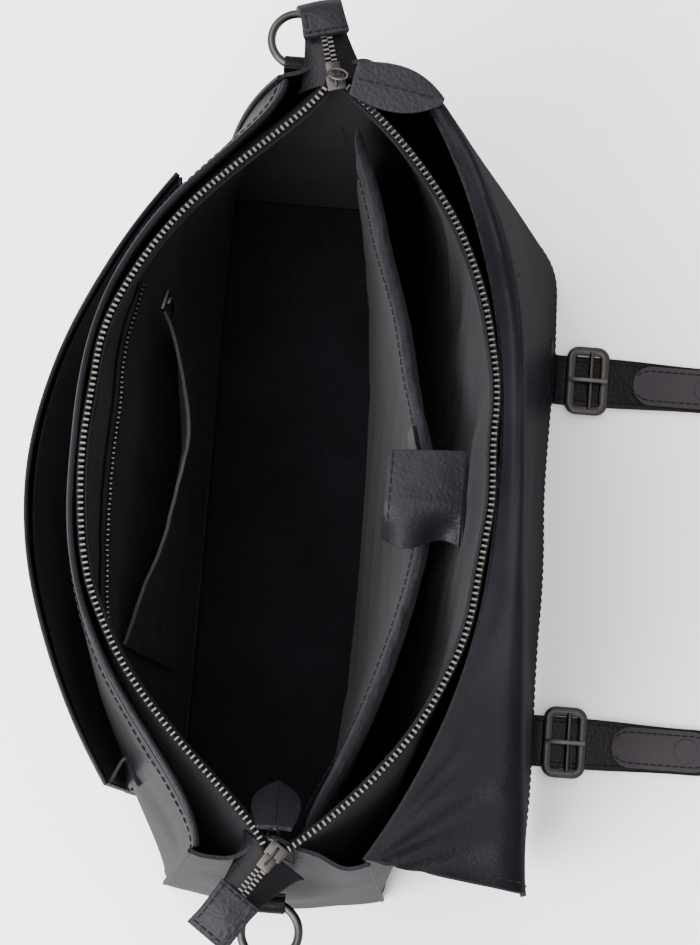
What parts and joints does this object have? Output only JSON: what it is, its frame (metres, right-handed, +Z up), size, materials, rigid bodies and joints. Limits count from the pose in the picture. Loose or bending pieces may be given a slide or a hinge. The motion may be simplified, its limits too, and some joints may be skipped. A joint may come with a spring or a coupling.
{
  "type": "leather backpack",
  "caption": "Black leather satchel-style backpack, zipped mouth held open, flap thrown back, with a front pocket, laptop sleeve and two buckled flap straps.",
  "frame": {"origin": "centre of the underside of the base", "axes": "+X along the bag's width, +Y to its back, -Y to its front pocket, +Z up"},
  "size_m": [0.4834, 0.401, 0.3053],
  "materials": {
    "black_leather": "smooth, fine grain, satin",
    "grained_leather": "pebbled grain, satin",
    "patch_leather": "smooth, matt",
    "cotton_lining": "plain woven cotton, matt",
    "padded_lining": "cotton over foam, matt",
    "zip_tape": "woven tape, matt",
    "hook_and_loop": "hook and loop pile",
    "webbing": "ribbed woven webbing",
    "gunmetal": "dark plated, satin",
    "base_board": "stiff sheet"
  },
  "bodies": {
    "bag": {"adjuster_buckles": "gunmetal", "back_lining": "cotton_lining", "back_panel": "black_leather", "back_zip_chain": "gunmetal", "back_zip_tape": "zip_tape", "base_board": "base_board", "base_lining": "cotton_lining", "base_panel": "black_leather", "closed_zip_ends": "gunmetal", "divider_loop_pad": "hook_and_loop", "flap_root": "black_leather", "front_lining": "cotton_lining", "front_panel": "black_leather", "front_rim": "black_leather", "front_zip_chain": "gunmetal", "front_zip_tape": "zip_tape", "gusset_linings": "cotton_lining", "handle_anchors": "black_leather", "inner_zip_chain": "gunmetal", "laptop_divider": "padded_lining", "left_gusset": "black_leather", "left_shoulder_strap": "black_leather", "lower_straps": "webbing", "pocket_gusset": "black_leather", "pocket_lining": "cotton_lining", "pocket_panel": "black_leather", "right_gusset": "black_leather", "right_shoulder_strap": "black_leather", "ring_loops": "black_leather", "slip_pocket": "cotton_lining", "snap_sockets": "gunmetal", "strap_anchors": "black_leather", "strap_yoke": "black_leather", "zip_end_tabs": "grained_leather"},
    "flap": {"flap_upper": "black_leather", "flap_upper_facing": "black_leather"},
    "flap_end": {"flap_lower": "black_leather", "flap_lower_facing": "black_leather", "left_strap_chape": "black_leather", "right_strap_chape": "black_leather"},
    "left_strap": {"left_flap_strap": "black_leather", "left_strap_patch": "patch_leather", "left_strap_snap": "gunmetal"},
    "left_buckle": {"left_buckle_frame": "gunmetal"},
    "left_prong": {"left_buckle_prong": "gunmetal"},
    "left_runner": {"left_slider": "gunmetal"},
    "left_pull": {"left_puller": "grained_leather"},
    "left_hoop": {"left_ring": "gunmetal"},
    "right_strap": {"right_flap_strap": "black_leather", "right_strap_patch": "patch_leather", "right_strap_snap": "gunmetal"},
    "right_buckle": {"right_buckle_frame": "gunmetal"},
    "right_prong": {"right_buckle_prong": "gunmetal"},
    "right_runner": {"right_slider": "gunmetal"},
    "right_pull": {"right_puller": "grained_leather"},
    "right_hoop": {"right_ring": "gunmetal"},
    "inner_runner": {"inner_slider": "gunmetal"},
    "tab": {"divider_tab": "black_leather", "tab_hook_pad": "hook_and_loop"},
    "handle": {"carrying_handle": "black_leather"}
  },
  "joints": [
    {"name": "flap_hinge", "type": "hinge", "parent": "bag", "child": "flap", "pos_m": [0, 0.106, 0.309], "axis": [1, 0, 0], "range_deg": [0, 262]},
    {"name": "flap_fold_hinge", "type": "hinge", "parent": "flap", "child": "flap_end", "pos_m": [0, 0.14146, 0.05193], "axis": [1, 0, 0], "range_deg": [0, 85]},
    {"name": "left_strap_hinge", "type": "hinge", "parent": "flap_end", "child": "left_strap", "pos_m": [-0.109, 0.14742, 0.005], "axis": [1, 0, 0], "range_deg": [-80, 0]},
    {"name": "left_buckle_hinge", "type": "hinge", "parent": "left_strap", "child": "left_buckle", "pos_m": [-0.109, 0.151, 0.0032], "axis": [1, 0, 0], "range_deg": [0, 60]},
    {"name": "left_prong_hinge", "type": "hinge", "parent": "left_buckle", "child": "left_prong", "pos_m": [-0.109, 0.153, 0.0079], "axis": [1, 0, 0], "range_deg": [0, 70]},
    {"name": "left_slider_run", "type": "slide", "parent": "bag", "child": "left_runner", "axis": [-0.9659, -0.2588, 0], "range_m": [0, 0.01]},
    {"name": "right_strap_hinge", "type": "hinge", "parent": "flap_end", "child": "right_strap", "pos_m": [0.109, 0.14742, 0.005], "axis": [1, 0, 0], "range_deg": [-80, 0]},
    {"name": "right_buckle_hinge", "type": "hinge", "parent": "right_strap", "child": "right_buckle", "pos_m": [0.109, 0.151, 0.0032], "axis": [1, 0, 0], "range_deg": [0, 60]},
    {"name": "right_prong_hinge", "type": "hinge", "parent": "right_buckle", "child": "right_prong", "pos_m": [0.109, 0.153, 0.0079], "axis": [1, 0, 0], "range_deg": [0, 70]},
    {"name": "right_slider_run", "type": "slide", "parent": "bag", "child": "right_runner", "axis": [0.8192, -0.5736, 0], "range_m": [0, 0.003]},
    {"name": "left_puller_swivel", "type": "hinge", "parent": "left_runner", "child": "left_pull", "pos_m": [-0.19, 0.003, 0.3042], "axis": [0, 0, 1], "range_deg": [-50, 60]},
    {"name": "right_puller_swing", "type": "hinge", "parent": "right_runner", "child": "right_pull", "pos_m": [0.1805, 0, 0.3037], "axis": [0, 1, 0], "range_deg": [-12, 25]},
    {"name": "left_ring_swing", "type": "hinge", "parent": "bag", "child": "left_hoop", "pos_m": [-0.21094, -0.02048, 0.25], "axis": [0, 1, 0], "range_deg": [-75, 40]},
    {"name": "right_ring_swing", "type": "hinge", "parent": "bag", "child": "right_hoop", "pos_m": [0.21211, 0.00153, 0.25], "axis": [0, 1, 0], "range_deg": [-40, 75]},
    {"name": "inner_slider_run", "type": "slide", "parent": "bag", "child": "inner_runner", "axis": [0.9536, -0.301, 0], "range_m": [0, 0.008]},
    {"name": "divider_tab_hinge", "type": "hinge", "parent": "bag", "child": "tab", "pos_m": [0.008, 0.08626, 0.2601], "axis": [1, 0, 0], "range_deg": [-70, 0]},
    {"name": "handle_swing", "type": "hinge", "parent": "bag", "child": "handle", "pos_m": [0, 0.10206, 0.2805], "axis": [1, 0, 0], "range_deg": [0, 6]}
  ],
  "couplings": [
    {"joint": "flap_fold_hinge", "follows": "flap_hinge", "ratio": 0.32443},
    {"joint": "left_strap_hinge", "follows": "flap_hinge", "ratio": -0.30534},
    {"joint": "right_strap_hinge", "follows": "flap_hinge", "ratio": -0.30534}
  ]
}
